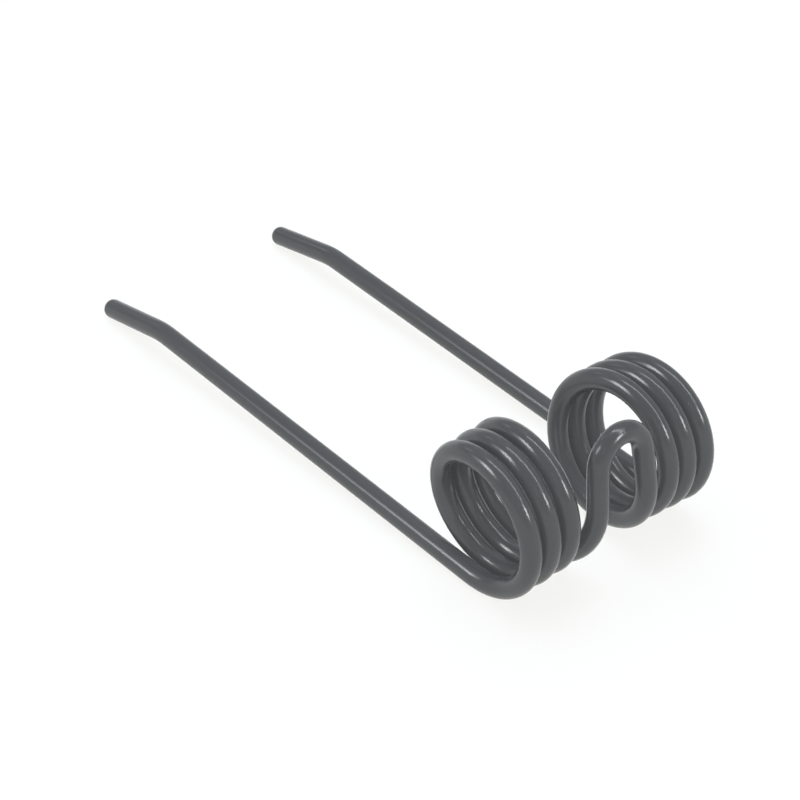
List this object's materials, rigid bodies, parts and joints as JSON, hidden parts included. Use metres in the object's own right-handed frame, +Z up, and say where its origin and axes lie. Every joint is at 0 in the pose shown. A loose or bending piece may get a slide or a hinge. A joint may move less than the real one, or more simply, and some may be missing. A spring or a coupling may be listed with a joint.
{
  "type": "baler pick-up tine",
  "caption": "Double-coil spring tine for a baler's pick-up, bent from one round steel wire: a bolt loop between coils, and parallel arms with tips bent down.",
  "frame": {"origin": "centre of the bolt in the loop between the two coils", "axes": "+X along the coils, square to the tine's plane of symmetry; +Y from the bolt loop towards the tips; +Z up, with the coils and the tips resting on a level floor"},
  "size_m": [0.0716, 0.1918, 0.0478],
  "materials": {
    "coated_spring_steel": "dark grey semi-gloss coat over round spring steel wire"
  },
  "bodies": {
    "root": {"spring_tine": "coated_spring_steel"}
  },
  "joints": []
}
